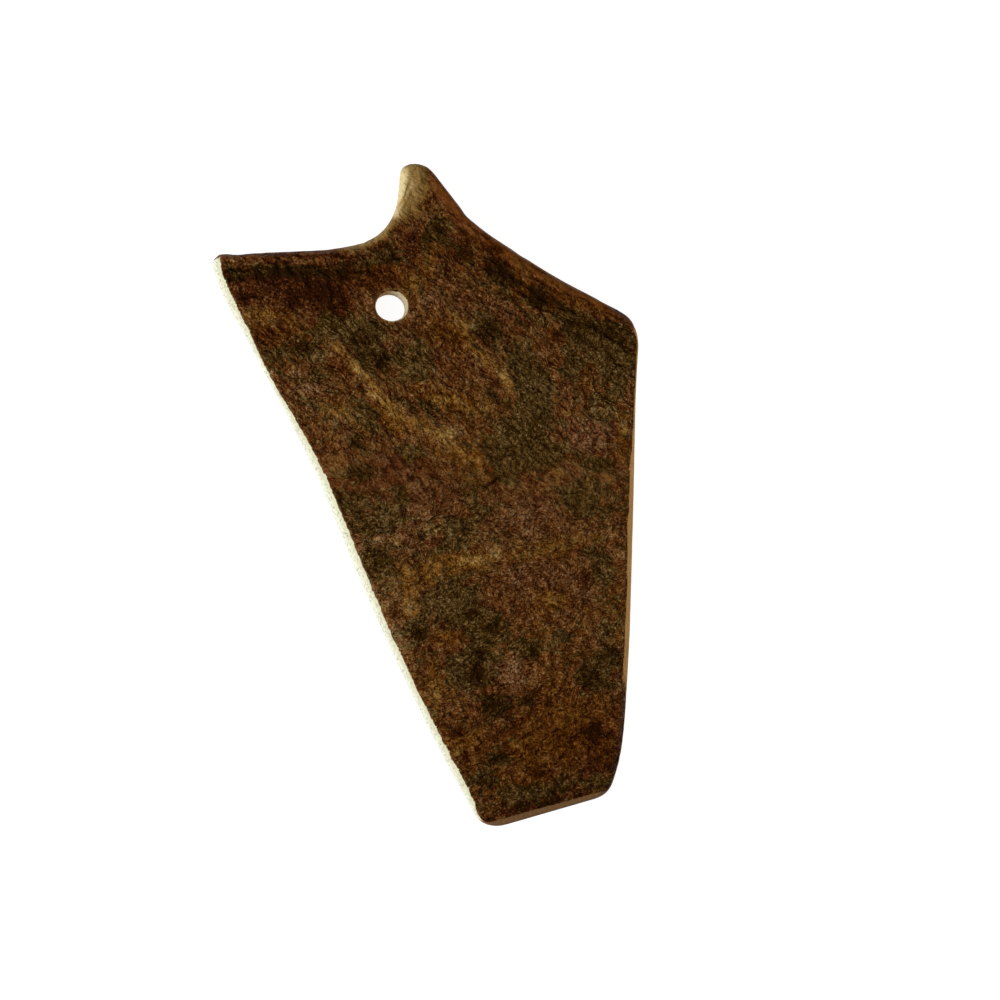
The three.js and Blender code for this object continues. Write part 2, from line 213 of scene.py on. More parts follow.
# Stain of the bark in the same form: olive above 0, reddish below
STAIN_PATCHES = (
    (2.0, 53.0, 2.6, 2.9, 0, 1.0),
    (-8.8, 47.5, 2.6, 1.7, 0, 0.8),
    (-13.0, 46.8, 2.3, 1.5, 0, 0.6),
    (-27.0, 44.0, 9.0, 1.4, 2, 0.9),
    (-39.0, 43.0, 2.0, 2.0, 0, 0.6),
    (-18.0, 32.8, 5.0, 3.0, 0, 0.9),
    (-12.5, 30.5, 3.0, 3.0, 0, 1.0),
    (-25.0, 28.0, 2.7, 2.0, 0, 0.7),
    (-30.0, 27.5, 1.9, 1.7, 0, 0.6),
    (-22.0, 27.5, 1.7, 2.3, 0, 0.5),
    (-10.0, 26.5, 2.6, 1.9, 0, 0.9),
    (-2.5, 27.0, 3.5, 2.6, 0, 0.9),
    (-3.0, 23.8, 1.9, 1.9, 0, 0.7),
    (-21.0, 23.0, 2.4, 1.2, -20, 0.5),
    (-12.5, 15.5, 2.2, 2.2, 0, 0.9),
    (-5.0, 18.0, 2.7, 1.0, -38, 0.6),
    (0.0, 17.0, 2.5, 1.6, -20, 0.7),
    (14.0, 44.0, 4.0, 2.5, -30, 0.5),
    (22.0, 39.5, 3.2, 1.9, -30, 0.5),
    (28.0, 37.0, 2.5, 1.5, -25, 0.6),
    (34.0, 33.0, 6.0, 2.8, 0, 1.0),
    (38.0, 28.0, 3.6, 4.2, 0, 1.0),
    (31.0, 30.5, 2.6, 2.6, 0, 0.6),
    (11.5, 33.3, 3.5, 2.4, 0, 0.9),
    (10.0, 29.5, 2.0, 1.3, -35, 0.5),
    (18.3, 26.5, 2.5, 3.0, 0, 0.9),
    (22.0, 20.5, 3.7, 5.0, 0, 1.0),
    (20.5, 15.0, 3.2, 2.6, 0, 0.9),
    (29.0, 25.5, 1.9, 2.7, 0, 0.7),
    (33.0, 17.5, 1.5, 3.6, 10, 0.7),
    (36.5, 17.0, 1.5, 3.0, 0, 0.6),
    (39.5, 23.0, 1.6, 3.0, 0, 0.6),
    (12.0, 20.5, 1.1, 1.5, 0, 0.6),
    (17.0, 10.5, 4.6, 4.0, 0, 1.0),
    (23.0, 8.5, 5.0, 2.7, 0, 0.9),
    (15.5, 4.5, 1.7, 2.8, 0, 0.8),
    (35.0, 5.5, 3.0, 1.7, 0, 0.9),
    (32.0, 0.0, 4.7, 2.5, 0, 0.9),
    (31.0, -2.5, 3.0, 2.0, 0, 0.7),
    (-3.0, 8.0, 1.9, 1.7, 0, 0.9),
    (-14.5, 10.0, 1.6, 1.1, 0, 0.6),
    (-13.5, 4.0, 3.2, 1.4, 0, 0.9),
    (-5.5, -0.3, 1.6, 1.9, 0, 0.8),
    (-14.5, -2.0, 2.4, 2.0, 0, 1.0),
    (-8.0, -5.0, 2.3, 2.2, 0, 0.9),
    (-12.0, -6.6, 2.3, 1.7, 0, 0.9),
    (11.0, -3.6, 2.1, 1.9, 0, 0.8),
    (6.0, -8.0, 2.2, 2.5, 0, 0.9),
    (4.5, -11.0, 2.0, 1.1, 0, 0.6),
    (-9.8, -14.0, 3.3, 3.6, 0, 1.0),
    (5.0, -20.5, 4.5, 2.5, 0, 0.9),
    (6.0, -24.0, 5.0, 2.5, 0, 0.9),
    (12.0, -27.5, 3.6, 4.0, 0, 1.0),
    (-2.3, -27.0, 2.1, 2.6, 0, 0.9),
    (20.0, -31.0, 2.7, 2.3, 0, 0.9),
    (27.0, -28.6, 2.3, 1.1, 0, 0.6),
    (36.5, -27.0, 1.6, 1.9, 0, 0.8),
    (36.0, -16.0, 2.1, 2.6, 0, 0.9),
    (34.5, -12.6, 1.7, 1.1, 0, 0.6),
    (36.5, -32.5, 2.5, 1.9, 0, 0.8),
    (33.5, -37.0, 3.6, 3.0, 0, 1.0),
    (9.5, -35.5, 4.0, 4.0, 0, 1.0),
    (5.5, -36.0, 1.9, 3.0, 0, 0.6),
    (14.0, -42.5, 3.3, 2.1, 15, 0.8),
    (20.5, -41.0, 2.0, 1.1, 15, 0.6),
    (12.0, -57.0, 3.0, 2.0, 0, 0.7),
    (14.5, -53.0, 2.1, 1.4, 0, 0.6),
    (22.0, -60.0, 8.0, 1.7, 14, 0.7),
    (35.0, -58.0, 3.0, 2.0, 0, 0.7),
    (7.0, 0.5, 8.0, 3.0, 0, 0.25),
    (-28.0, 39.5, 9.0, 3.0, 0, -1.0),
    (-17.5, 36.5, 1.4, 3.0, -8, -0.8),
    (-9.0, 43.0, 4.0, 2.6, 0, -0.8),
    (-32.0, 31.5, 3.0, 2.0, 0, -0.7),
    (-17.3, 25.5, 1.7, 2.6, 35, -0.7),
    (-7.0, 14.0, 4.0, 1.3, -38, -0.7),
    (5.0, 31.0, 4.0, 4.0, 0, -0.6),
    (7.0, 25.0, 4.0, 3.5, 0, -0.5),
    (14.6, 22.6, 1.6, 2.4, 35, -0.9),
    (25.0, 28.0, 1.7, 3.0, 15, -0.6),
    (27.0, 21.0, 1.5, 3.0, 0, -0.5),
    (32.0, 20.0, 1.0, 3.0, 0, -0.6),
    (33.0, 12.0, 4.0, 3.0, 0, -0.4),
    (20.0, 46.5, 9.0, 2.0, -32, -0.6),
    (33.0, 38.5, 5.0, 1.7, -28, -0.7),
    (-3.5, 51.3, 1.4, 1.3, 0, -0.8),
    (-5.0, 3.0, 5.0, 2.5, 0, -0.3),
    (3.0, -1.0, 4.0, 3.0, 0, -0.2),
    (20.0, -5.0, 7.0, 3.5, 0, -0.5),
    (24.0, -20.0, 9.0, 6.0, 0, -0.6),
    (14.0, -21.0, 2.5, 3.0, 0, -0.5),
    (18.0, -36.0, 3.0, 3.0, 0, -0.8),
    (25.0, -36.0, 2.6, 2.6, 0, -0.6),
    (28.0, -45.0, 9.0, 4.5, 15, -0.8),
    (7.0, -51.0, 2.6, 2.4, 0, -0.8),
    (3.0, -39.0, 2.4, 5.0, 10, -0.5),
    (4.5, -29.0, 2.8, 1.5, 0, -0.7),
    (-6.3, -24.5, 1.3, 2.0, 0, -0.6),
    (37.0, -48.0, 2.5, 5.0, 0, -0.5),
    (22.0, -54.0, 7.0, 2.4, 12, -0.4),
    (31.8, -17.0, 1.1, 1.9, 0, -0.8),
    (35.5, -1.3, 1.1, 1.1, 0, -0.9),
)

# Warmth of the bark in the same form: golden rust above 0, pinkish below
WARM_PATCHES = (
    (-10.0, 43.5, 5.0, 3.0, 0, 0.8),
    (-27.0, 40.0, 9.0, 3.5, 0, -0.1),
    (0.0, 46.0, 1.6, 5.0, 0, 0.8),
    (-3.5, 42.0, 1.6, 1.6, 0, 0.8),
    (-15.0, 16.5, 6.0, 3.0, -35, 0.6),
    (-7.0, 14.5, 4.0, 1.5, -40, 0.9),
    (4.0, 32.0, 4.0, 3.0, 0, 0.6),
    (6.0, 18.0, 6.0, 2.0, -15, 0.9),
    (8.0, 7.0, 4.0, 3.0, 0, 0.8),
    (18.0, 48.5, 8.0, 1.6, -32, 0.6),
    (26.0, 39.5, 5.0, 2.0, -28, 0.8),
    (34.0, 37.5, 4.0, 1.5, -28, 0.6),
    (39.5, 12.0, 1.2, 4.0, 0, 0.7),
    (0.0, -15.5, 12.0, 2.5, 8, 0.9),
    (24.0, -11.0, 9.0, 2.0, 10, 0.9),
    (-4.0, -23.0, 2.5, 3.0, 0, 0.5),
    (4.5, -29.0, 3.0, 1.5, 0, 0.8),
    (25.0, -21.0, 3.0, 2.0, 0, 0.8),
    (2.0, -38.0, 2.5, 5.0, 0, 0.7),
    (27.0, -46.0, 8.0, 4.0, 15, 0.9),
    (7.0, -49.5, 4.0, 3.0, 0, 0.8),
    (36.0, -51.0, 4.0, 3.0, 0, 0.6),
    (22.0, -52.0, 16.0, 7.0, 12, 0.5),
    (18.0, 42.0, 9.0, 5.0, -30, 0.5),
    (-28.0, 30.0, 8.0, 6.0, 0, 0.4),
    (16.0, 24.0, 7.0, 8.0, 0, 0.2),
    (24.0, -33.0, 8.0, 8.0, 0, 0.4),
    (37.0, -20.0, 3.0, 12.0, 0, 0.35),
    (-8.0, -6.0, 8.0, 10.0, 0, -0.35),
    (-24.0, 20.5, 3.5, 2.5, 0, -0.7),
    (1.0, 39.0, 2.0, 2.0, 0, -0.5),
    (16.0, 37.0, 5.0, 2.0, -15, -0.6),
    (33.0, 12.0, 4.5, 3.5, 0, -0.9),
    (-8.0, 5.0, 5.0, 3.0, 0, -0.4),
    (3.0, -1.0, 5.0, 4.0, 0, -0.3),
    (20.0, -4.0, 6.0, 4.0, 0, -0.7),
    (20.0, -16.0, 6.0, 2.5, 0, -0.5),
    (17.5, -36.0, 3.2, 3.2, 0, -1.0),
    (32.0, -20.0, 2.0, 2.0, 0, -0.5),
    (-13.0, -9.5, 3.0, 1.0, 0, -0.6),
)

# The point, rubbed pale, and its left rim, rubbed and painted palest as a highlight of the light from the
# left, in the forms of the patches and the veins
WORN_PATCHES = (
    (-2.8, 64.5, 3.6, 4.0, 0, 0.34),
    (-4.0, 59.0, 3.2, 5.0, 10, 0.28),
    (-0.6, 60.6, 3.4, 3.6, 0, 0.15),
)
WORN_AND_LIT_RIM = (
    (1.7, 0.9, (
        (-3.8, 66.4), (-5.6, 64.6), (-5.9, 62.6), (-6.1, 60.2), (-6.5, 58.6), (-6.9, 56.0),
        (-7.9, 53.8))),
    (1.3, 0.6, ((-6.9, 56.0), (-8.1, 53.8), (-9.3, 52.2), (-11.8, 50.6), (-14.5, 49.6), (-19.5, 48.9))),
)

# Grown edges that are rubbed smooth and rust brown, in the form of the veins
RUBBED_RIMS = (
    (1.4, 0.9, (
        (-1.0, 65.4), (2.4, 62.2), (4.8, 59.0), (7.2, 55.8), (12.1, 51.8), (16.9, 48.6),
        (21.8, 45.6))),
    (0.9, 0.7, ((16.9, 48.6), (21.8, 45.6), (26.6, 42.6), (31.5, 40.2), (36.3, 37.6), (39.5, 35.6))),
    (0.6, 0.25, ((-41.0, 46.4), (-33.0, 46.6), (-24.0, 47.1), (-16.0, 48.2))),
)

# Broad lumps of the bark: how far they are bent, in millimetres, and how they are drawn out
LUMP_BEND = 2.0
LUMP_STRETCH = (0.8, 1.2, 1.0)

# Masks that shade the bark, the steps of each of its browns, and where colours stand on their ramps
# Worn also holds a painted highlight along the left rim of the point
BARK_MASKS = ("Vein", "Groove", "Shade", "Olive", "Warm", "Worn", "Rubbed")
# The palest steps stand partly for pale fibres and partly for painted glints of sheen on the rough bark
BARK_STEPS = ("pit", "dark", "bark", "light", "speck")
BARK_STOPS = (0.06, 0.20, 0.36, 0.60, 0.95)
WORN_STOPS = (0.0, 0.3, 0.6, 1.0)

# The grain of the bark: its slants in radians, the heights in millimetres between which it turns from one
# to the other, the slow swirl that bends it, and the share of its noise that cracks take
LOWER_SLANT = -0.3
UPPER_SLANT = 0.7
SLANT_TURNS = (-8.0, 14.0)
SWIRL_SCALE = 0.22
SWIRL_REACH = 2.2
CRACK_HALF_WIDTH = 0.09

# What the node groups of bark and bone give, and the finish that both share
SURFACE_SOCKETS = {"Color": "Color", "Roughness": "Float", "Height": "Float"}
BUMP_DEPTH = 0.4  # in millimetres, at a height of 1
SHEEN = 0.06
SHEEN_TINT = (1.0, 0.6, 0.25, 1.0)

# Where the camera stands, and the studio around the plate
CAMERA_TARGET = Vector((14.65, -1.3, 6.0)) * MM
CAMERA_LEAN = Vector((-0.134, -0.066, 1.0))
KEY_FROM = Vector((-0.82, -0.20, 0.56))
FILL_FROM = Vector((0.80, 0.15, 0.50))
FLOOR_SIZE = 8.0
TABLE_GREY = (0.25, 0.25, 0.25, 1.0)  # its own glow makes the table white
WHITE = (1.0, 1.0, 1.0, 1.0)


def from_srgb(red, green, blue):
    """A linear colour from screen values of 0 to 255."""
    def linear(level):
        share = level / 255
        return share / 12.92 if share <= 0.04045 else ((share + 0.055) / 1.055) ** 2.4
    return linear(red), linear(green), linear(blue)


def length(label, about, millimetres):
    return FloatProperty(
        name=label, description=about, default=millimetres * MM, unit="LENGTH", precision=6)


def number(label, about, value, **settings):
    return FloatProperty(name=label, description=about, default=value, **settings)


def colour(label, about, *screen_values):
    return FloatVectorProperty(
        name=label, description=about, default=from_srgb(*screen_values), subtype="COLOR", min=0, max=1)


class AntlerRelief(bpy.types.PropertyGroup):
    """How finely the plate is meshed, and how high its bark stands."""

    voxel: length("Voxel", "Grid that the solid is rebuilt on", 0.65)
    smoothing: IntProperty(
        name="Smoothing", description="Passes that even the rebuilt surface out", default=3)
    fidelity: number("Fidelity", "How far smoothed points go back to the solid", 0.85, subtype="FACTOR")
    lumps: length("Lumps", "Height of the broad unevenness", 0.55)
    rise: length("Rise", "Limit that the highest bark stays below", 0.2)
    grain: length("Grain", "Height of the fibrous grain", 0.20)
    nubs: length("Nubs", "Height of the finest roughness", 0.10)
    grooves: length("Grooves", "Depth of grooves and cracks", 0.22)
    pits: length("Pits", "Depth of the pits in dark patches", 0.14)
    back: length("Back", "Depth of the relief on the hidden back", 0.16)


class AntlerColours(bpy.types.PropertyGroup):
    """Colours of bark and bone."""

    red_pit: colour("Red pit", "Reddish bark at its darkest", 30, 8, 1)
    red_dark: colour("Red dark", "Reddish bark in hollows", 51, 19, 5)
    red_bark: colour("Red bark", "Reddish brown of most of the bark", 75, 39, 15)
    red_light: colour("Red light", "Lightest grain of the reddish bark", 103, 71, 41)
    # Pale specks, partly painted glints of sheen on the rough bark
    red_speck: colour("Red speck", "Pale specks in the reddish bark", 142, 112, 79)
    gold_pit: colour("Gold pit", "Golden bark at its darkest", 30, 9, 0)
    gold_dark: colour("Gold dark", "Golden bark in hollows", 53, 21, 2)
    gold_bark: colour("Gold bark", "Golden brown of warm patches", 78, 41, 6)
    gold_light: colour("Gold light", "Tan gold of the ridges that are rubbed bare", 113, 79, 30)
    # Pale specks on the ridges, partly painted glints
    gold_speck: colour("Gold speck", "Pale specks on the ridges", 154, 122, 69)
    olive_pit: colour("Olive pit", "Olive bark at its darkest", 28, 12, 1)
    olive_dark: colour("Olive dark", "Olive bark in hollows", 42, 24, 3)
    olive_bark: colour("Olive bark", "Dark olive of the stained patches", 64, 43, 13)
    olive_light: colour("Olive light", "Lightest fibres of the stained patches", 97, 75, 41)
    # Pale specks, partly painted glints
    olive_speck: colour("Olive speck", "Pale specks in the stained patches", 137, 115, 80)
    worn_brown: colour("Worn brown", "Brown where the wear of the point begins", 92, 60, 24)
    worn_gold: colour("Worn gold", "Golden brown of the worn point", 108, 79, 36)
    worn_tan: colour("Worn tan", "Tan of the worn point", 134, 106, 60)
    # Painted highlight as well as wear: the palest tone of the point, laid along its left rim where the
    # light from the left falls
    worn_and_lit_cream: colour("Worn cream", "Pale rim of the worn point", 190, 173, 128)
    rubbed_rust: colour("Rubbed rust", "Rust brown of the rubbed grown edges", 110, 60, 21)
    cream_bone: colour("Cream bone", "Sawn compact bone below the bark", 194, 193, 162)
    # Painted light: the paler tone the sawn bone takes towards the foot, as if lit by the glow of the
    # white table
    glow_lit_bone: colour("Pale bone", "Sawn compact bone near the back", 214, 215, 198)
    tan_bone: colour("Tan bone", "Sanded bone that has taken up stain", 196, 146, 82)
    end_bone: colour("End bone", "Brown of the sanded end", 102, 75, 48)


class AntlerStudio(bpy.types.PropertyGroup):
    """Camera and light."""

    camera_distance: number("Camera distance", "From lens to plate", 0.8, unit="LENGTH")
    lens: number("Lens", "Focal length in millimetres", 144.0)
    key_power: number("Key light", "Power of the soft light on the left", 18.5)
    fill_power: number("Fill light", "Power of the weak light on the right", 3.5)
    light_size: number("Light size", "Width of the lights", 0.4, unit="LENGTH")
    light_distance: number("Light distance", "From lights to plate", 1.2, unit="LENGTH")
    sky: number("Sky", "Strength of the even light all round", 0.25)
    floor_glow: number("Floor glow", "Light that the white table gives off", 0.92)


def rebuilt_solid(node, voxel):
    """A mesh of even quads that follows a merged copy of the solid."""
    bm = bmesh.new()
    bm.from_mesh(node.data)
    bmesh.ops.remove_doubles(bm, verts=bm.verts, dist=WELD)
    mesh = bpy.data.meshes.new(PLATE + "_form")
    bm.to_mesh(mesh)
    bm.free()
    form = bpy.data.objects.new(mesh.name, mesh)
    bpy.context.scene.collection.objects.link(form)
    remesh = form.modifiers.new("even_quads", "REMESH")
    remesh.mode = "VOXEL"
    remesh.voxel_size = voxel
    evaluated = form.evaluated_get(bpy.context.evaluated_depsgraph_get())
    even = bpy.data.meshes.new_from_object(evaluated)
    bpy.data.objects.remove(form)
    bpy.data.meshes.remove(mesh)
    return even


def smooth(bm, passes):
    for _ in range(passes):
        bmesh.ops.smooth_vert(
            bm, verts=bm.verts, factor=0.5, use_axis_x=True, use_axis_y=True, use_axis_z=True)


def refine_face(bm):
    """Halve the quads of the face, which carries the finest relief."""
    bm.normal_update()
    face_edges = {edge for face in bm.faces if face.normal.z > 0.35 for edge in face.edges}
    bmesh.ops.subdivide_edges(bm, edges=list(face_edges), cuts=1, use_grid_fill=True)
    smooth(bm, 1)


def pull_to_solid(bm, node, share):
    """Move each point most of the way back to the solid, whose edges the smoothing has drawn in."""
    solid = bmesh.new()
    solid.from_mesh(node.data)
    tree = BVHTree.FromBMesh(solid)
    solid.free()
    for vert in bm.verts:
        vert.co = vert.co.lerp(tree.find_nearest(vert.co)[0], share)


def plate_mesh(relief):
    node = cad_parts[PLATE]
    even = rebuilt_solid(node, relief.voxel)
    bm = bmesh.new()
    bm.from_mesh(even)
    bpy.data.meshes.remove(even)
    smooth(bm, relief.smoothing)
    refine_face(bm)
    pull_to_solid(bm, node, relief.fidelity)
    for face in bm.faces:
        face.smooth = True
    mesh = bpy.data.meshes.new(PLATE + "_bark")
    bm.to_mesh(mesh)
    bm.free()
    return mesh


def ramp(values, low, high):
    """0 below low, 1 above high and smooth between."""
    share = np.clip((values - low) / (high - low), 0, 1)
    return share * share * (3 - 2 * share)


def noise_at(points, size, seed=0.0):
    """Smooth noise from -1 to 1 with features of this size, in millimetres."""
    places = points / size + seed
    return np.array([noise.noise(place) for place in places.tolist()])


def smooth_track(points, steps=8):
    """Places along a smooth curve through a few points."""
    knots = np.array(points, float)
    knots = np.vstack([2 * knots[0] - knots[1], knots, 2 * knots[-1] - knots[-2]])
    shares = np.linspace(0, 1, steps, endpoint=False)[:, None]
    track = []
    for before, start, end, after in zip(knots, knots[1:], knots[2:], knots[3:]):
        slope, next_slope = (end - before) / 2, (after - start) / 2
        track.append(
            start + slope * shares + (3 * (end - start) - 2 * slope - next_slope) * shares ** 2
            + (2 * (start - end) + slope + next_slope) * shares ** 3)
    return np.vstack([*track, knots[-2]])


def distance_to_track(places, track):
    """Distance from each place to the track, and the share of the track's pieces passed there."""
    nearest = np.full(len(places), np.inf)
    passed = np.zeros(len(places))
    for step, (start, end) in enumerate(zip(track[:-1], track[1:])):
        along = end - start
        share = np.clip((places - start) @ along / (along @ along), 0, 1)
        away = np.linalg.norm(places - start - share[:, None] * along, axis=1)
        passed = np.where(away < nearest, (step + share) / (len(track) - 1), passed)
        nearest = np.minimum(nearest, away)
    return nearest, passed


def lines_cover(places, lines):
    """How strongly the lines cover each place, from 0 to 1."""
    cover = np.zeros(len(places))
    for half_width, strength, points in lines:
        away, passed = distance_to_track(places, smooth_track(points))
        taper = 0.35 + 0.65 * ramp(np.minimum(passed, 1 - passed), 0.0, 0.22)
        core = np.exp(-((away / half_width) ** 2))
        flanks = np.exp(-((away / half_width / 2.2) ** 2))
        cover = np.maximum(cover, strength * taper * (0.7 * core + 0.3 * flanks))
    return cover


def patches_cover(places, patches):
    """The sum of the oval patches at each place, held between -1 and 1."""
    cover = np.zeros(len(places))
    for x, y, half_width, half_height, turn, strength in patches:
        cosine, sine = math.cos(math.radians(turn)), math.sin(math.radians(turn))
        right, up = places[:, 0] - x, places[:, 1] - y
        across = (right * cosine + up * sine) / half_width
        along = (up * cosine - right * sine) / half_height
        cover = cover + strength * np.exp(-(across ** 2 + along ** 2))
    return np.clip(cover, -1, 1)


def wandering(points, reach, size, seed):
    """Places on the face, moved about a little so that edges drawn on it are natural."""
    shift = np.stack([noise_at(points, size, seed), noise_at(points, size, seed + 31.7)], axis=1)
    return points[:, :2] + reach * shift


def turned(places, degrees):
    """Places in axes that are turned by this angle."""
    cosine, sine = math.cos(math.radians(degrees)), math.sin(math.radians(degrees))
    right, up = places[:, 0], places[:, 1]
    return np.stack([right * cosine + up * sine, up * cosine - right * sine], axis=1)


def fibre_cover(points):
    """Gaps between the long fibres that run along the grown edges and across the lower end."""
    cover = np.zeros(len(points))
    places = wandering(points, 0.35, 4.0, 8.8)
    for degrees, strength, start, inward, depth, (left, right) in FIBRE_ZONES:
        zone = ramp((places - start) @ np.array(inward), -depth, 0)
        zone = zone * ramp(places[:, 0], left, left + 5) * (1 - ramp(places[:, 0], right - 5, right))
        along = turned(places, degrees) / (FIBRE_LENGTH, FIBRE_WIDTH)
        gaps = noise_at(np.column_stack([along, points[:, 2] / 9]), 1.0, degrees + 0.5)
        cover = np.maximum(cover, strength * zone * ramp(gaps, 0.0, 0.45))
    return cover


def hole_distance(points):
    return np.linalg.norm(points[:, :2] - HOLE_CENTRE, axis=1)


def end_cover(points, beyond=0.0):
    """1 on the lower end and its sanded edge, and as far in from that edge as asked."""
    start = END_REACH - END_BARE - beyond
    return ramp(points[:, :2] @ np.array(END_FACING), start, start + END_FADE)


def bark_skin(points):
    """How far down the left cut the bark's ragged edge hangs, in millimetres."""
    along = points[:, 1]
    thick = 0.9 * np.exp(-(((along - 27) / 6) ** 2))
    thin = 0.5 * np.exp(-(((along - 40) / 3) ** 2))
    return 0.6 + thick - thin + 0.6 * noise_at(points, 0.9, 12.1) + 0.5 * noise_at(points, 4.0, 14.6)


def sawn_cover(points, normals):
    """1 on the sawn sides and in the hole, 0 on bark."""
    facing_left = ramp(-normals[:, 0], -0.2, 0.2)
    low_right = ramp(normals[:, 0], 0.1, 0.4) * ramp(-points[:, 1], *LOW_RIGHT)
    flatness = np.abs(normals[:, 2])
    steep = ramp(0.8 - 0.2 * facing_left - 0.5 * low_right - flatness, -0.12, 0.12)
    below_skin = ramp(FACE_HEIGHT - points[:, 2] - bark_skin(points), -0.2, 0.2)
    below_grown_edges = 1 - ramp(points[:, 1], GROWN_EDGE_FROM - 0.2, GROWN_EDGE_FROM + 0.6)
    facing_up = ramp(normals[:, 1], 0.25 + 0.2 * facing_left, 0.5 + 0.25 * facing_left)
    sides = steep * below_grown_edges * (1 - facing_up) * (1 - facing_left * (1 - below_skin))
    hole = ramp(0.74 - flatness, -0.12, 0.12) * (hole_distance(points) < HOLE_RADIUS + 0.6)
    return np.maximum(np.maximum(sides, hole), end_cover(points))


def stain_cover(points, normals):
    """How brown the sawn bone is: pale on the left, tan on the right, darkest at the end."""
    right = ramp(normals[:, 0], -0.2, 0.3)
    hole = 0.32 * (hole_distance(points) < HOLE_RADIUS + 1.0)
    return np.maximum(np.maximum(0.8 * right, end_cover(points, 0.8)), hole)


def rubbed_cover(points, normals):
    """Grown edges whose bark is rubbed smooth, most of all from the point down the right shoulder."""
    facing_up = ramp(normals[:, 1], 0.05, 0.35)
    rolled = ramp(-normals[:, 2], -0.99, -0.72) * (normals[:, 2] > -0.3) * facing_up
    grown = ramp(points[:, 1], 30.0, 34.0) * (hole_distance(points) > HOLE_RADIUS + 2)
    rolled = rolled * grown * (0.35 + 0.65 * ramp(points[:, 0], -8.0, 2.0))
    return np.maximum(rolled, lines_cover(wandering(points, 0.4, 1.8, 15.2), RUBBED_RIMS))


def plate_masks(points, normals):
    wide = wandering(points, 0.9, 4.0, 3.1)
    close = wandering(points, 0.5, 1.6, 7.9)
    places = (wide + close) / 2
    # worn holds the rubbed point, a pale ring round the hole and, on the point's left rim, a painted
    # highlight of the light from the left
    worn = np.clip(patches_cover(close, WORN_PATCHES) + lines_cover(points[:, :2], WORN_AND_LIT_RIM), 0, 1)
    hole_rim = np.exp(-(((hole_distance(points) - HOLE_RADIUS - 0.2) / 0.35) ** 2))
    grooves = lines_cover(wandering(points, 0.18, 1.6, 5.3), GROOVES)
    return {
        "vein": lines_cover(places, VEINS) * (0.9 + 0.6 * noise_at(points, 3.0, 2.7)),
        "groove": np.maximum(grooves, fibre_cover(points)),
        "shade": patches_cover(places, SHADE_PATCHES),
        "olive": patches_cover(places, STAIN_PATCHES),
        "warm": patches_cover(places, WARM_PATCHES),
        "worn": np.maximum(worn, 0.3 * hole_rim),
        "rubbed": rubbed_cover(points, normals),
        "sawn": sawn_cover(points, normals),
        "stain": stain_cover(points, normals),
    }


def bark_lumps(points):
    """Broad unevenness, with soft creases between the lumps."""
    bends = [LUMP_BEND * noise_at(points, 6.0, seed) for seed in (21.5, 33.1)]
    bent = (points + np.column_stack([*bends, np.zeros(len(points))])) * LUMP_STRETCH
    creases = np.abs(noise_at(bent, 2.3, 9.4)) - 0.25
    return noise_at(bent, 3.4, 1.3) + 1.4 * creases


def bark_height(points, normals, masks, relief):
    """Relief of the bark above the rebuilt solid, in metres."""
    lumps = bark_lumps(points)
    grain = noise_at(points * (1.0, 1.5, 1.0), 1.2, 4.7)
    nubs = noise_at(points, 0.65, 2.2)
    pits = np.maximum(0, noise_at(points, 1.3, 6.6) - 0.15) * np.maximum(masks["olive"], -masks["shade"])
    smoothed = np.maximum(masks["worn"], masks["rubbed"])
    rough = (1 - 0.7 * smoothed) * (0.12 + 0.88 * ramp(np.abs(normals[:, 2]), 0.35, 0.85))
    height = rough * (relief.lumps * lumps + relief.grain * grain + relief.nubs * nubs)
    height = np.where(height > 0, height / (1 + height / relief.rise), height)
    return height - relief.grooves * masks["groove"] - relief.pits * pits


def raise_bark(mesh, relief):
    """Move the points of the plate out or in to its bark, and keep the masks for the materials."""
    count = len(mesh.vertices)
    positions, normals = np.zeros(count * 3), np.zeros(count * 3)
    mesh.vertices.foreach_get("co", positions)
    mesh.vertex_normals.foreach_get("vector", normals)
    positions, normals = positions.reshape(-1, 3), normals.reshape(-1, 3)
    points = positions / MM
    masks = plate_masks(points, normals)
    bark = 1 - masks["sawn"]
    height = bark_height(points, normals, masks, relief)
    on_back = ramp(-normals[:, 2], 0.3, 0.8)
    hidden = -relief.back * (0.5 + 0.5 * np.clip(height / (relief.lumps + relief.grain), -1, 1))
    offset = bark * (height * (1 - on_back) + hidden * on_back)
    positions = positions + normals * offset[:, None]
    positions[:, 2] = np.maximum(positions[:, 2], 0)
    mesh.vertices.foreach_set("co", positions.ravel())
    for name, values in masks.items():
        mesh.attributes.new(name, "FLOAT", "POINT").data.foreach_set("value", values)
    mesh.update()


def feed(tree, socket, value):
    """Link another node's output to the socket, or set its own value."""
    if isinstance(value, bpy.types.NodeSocket):
        tree.links.new(value, socket)
    else:
        socket.default_value = value


def put(tree, kind, inputs=None, **settings):
    node = tree.nodes.new("ShaderNode" + kind)
    for name, value in settings.items():
        setattr(node, name, value)
    for key, value in (inputs or {}).items():
        feed(tree, node.inputs[key], value)
    return node


def calc(tree, operation, first, second=0.0):
    return put(tree, "Math", {0: first, 1: second}, operation=operation).outputs[0]


def remap(tree, value, low, high, to_low=0.0, to_high=1.0):
    inputs = {"Value": value, "From Min": low, "From Max": high, "To Min": to_low, "To Max": to_high}
    return put(tree, "MapRange", inputs, interpolation_type="SMOOTHSTEP").outputs["Result"]


def blend(tree, share, first, second):
    """One colour that goes over into another."""
    return put(tree, "Mix", {0: share, 6: first, 7: second}, data_type="RGBA").outputs[2]


def blend_values(tree, share, first, second):
    """One number that goes over into another."""
    return put(tree, "Mix", {0: share, 2: first, 3: second}, data_type="FLOAT").outputs[0]


def centred(tree, noise_value, span):
    """Noise of 0 to 1, moved to lie around 0 and scaled."""
    return calc(tree, "MULTIPLY", calc(tree, "SUBTRACT", noise_value, 0.5), span)


